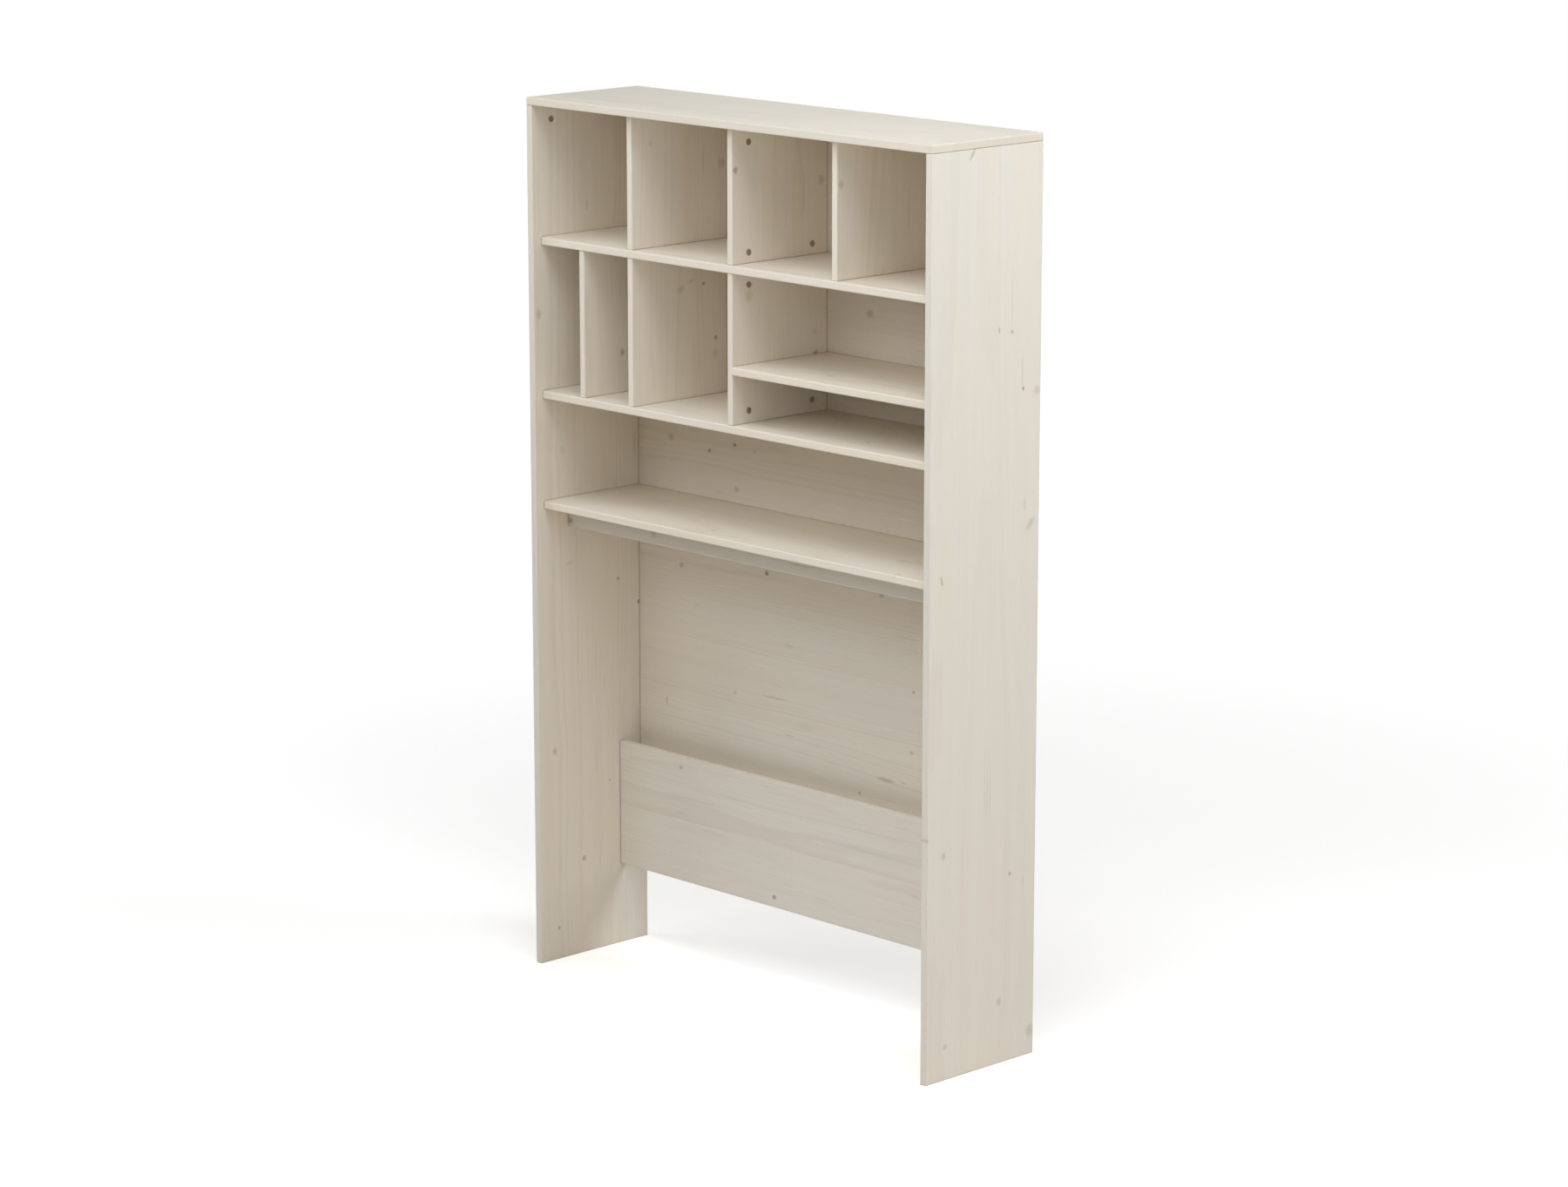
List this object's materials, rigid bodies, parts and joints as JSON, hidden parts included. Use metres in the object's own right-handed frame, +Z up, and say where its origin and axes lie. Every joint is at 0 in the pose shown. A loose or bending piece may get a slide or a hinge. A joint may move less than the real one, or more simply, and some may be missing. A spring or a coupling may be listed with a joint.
{
  "type": "desk hutch",
  "caption": "Tall floor-standing desk hutch in whitewashed pine: compartments, a long open bay and a shelf between two side panels, with room for a desk below.",
  "frame": {"origin": "middle of the footprint, on the floor", "axes": "+X to the right as seen from the front, +Y to the back, +Z up"},
  "size_m": [1.26, 0.335, 2.01],
  "materials": {
    "whitewashed_pine": "whitewash lacquer, satin, grain showing",
    "beech": "plain turned beech",
    "zinc": "die-cast zinc, dull",
    "zinc_steel": "bright zinc plate"
  },
  "bodies": {
    "root": {"left_side_panel": "whitewashed_pine", "right_side_panel": "whitewashed_pine", "top_panel": "whitewashed_pine", "upper_shelf": "whitewashed_pine", "middle_shelf": "whitewashed_pine", "half_shelf": "whitewashed_pine", "lower_shelf": "whitewashed_pine", "lower_shelf_rail": "whitewashed_pine", "lower_cross_board": "whitewashed_pine", "upper_left_divider": "whitewashed_pine", "upper_centre_divider": "whitewashed_pine", "upper_right_divider": "whitewashed_pine", "middle_outer_divider": "whitewashed_pine", "middle_left_divider": "whitewashed_pine", "middle_centre_divider": "whitewashed_pine", "upper_back_panel": "whitewashed_pine", "lower_back_panel": "whitewashed_pine", "divider_cam_locks": "zinc", "board_cam_locks": "zinc", "cam_bolts": "zinc_steel", "double_cam_bolts": "zinc_steel", "wooden_dowels": "beech", "back_panel_screws": "zinc_steel"}
  },
  "joints": []
}
